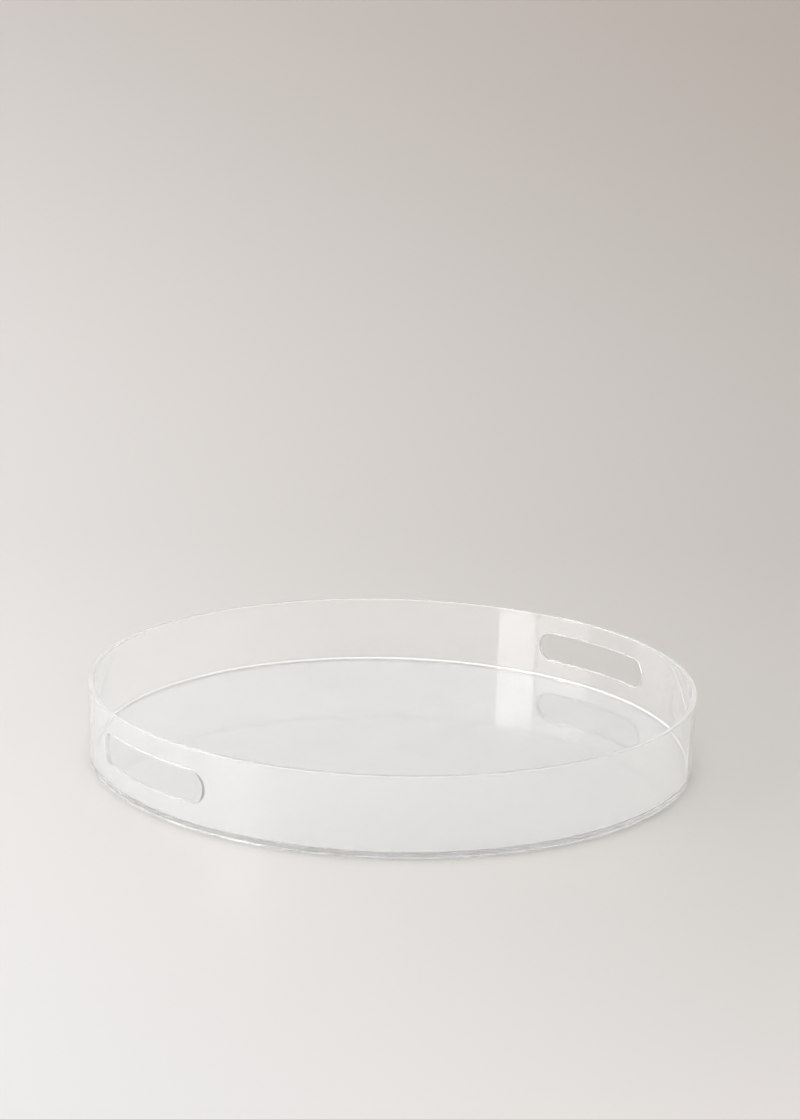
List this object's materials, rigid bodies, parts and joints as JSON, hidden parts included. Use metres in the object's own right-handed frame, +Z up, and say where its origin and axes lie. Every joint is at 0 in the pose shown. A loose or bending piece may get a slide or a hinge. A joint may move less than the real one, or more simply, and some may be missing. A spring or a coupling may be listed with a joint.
{
  "type": "round vanity tray",
  "caption": "Round clear acrylic tray with a straight upright wall, a flat base and oval hand slots cut through opposite sides of the wall.",
  "frame": {"origin": "centre of the underside, on the surface the tray stands on", "axes": "+Z up; the hand slots face +X and -X"},
  "size_m": [0.4, 0.4, 0.05],
  "materials": {
    "acrylic_wall": "clear, colourless, polished",
    "acrylic_base": "clear, colourless, polished",
    "cement": "clear, cured"
  },
  "bodies": {
    "root": {"wall_ring": "acrylic_wall", "base_disc": "acrylic_base", "cement_joint": "cement"}
  },
  "joints": []
}
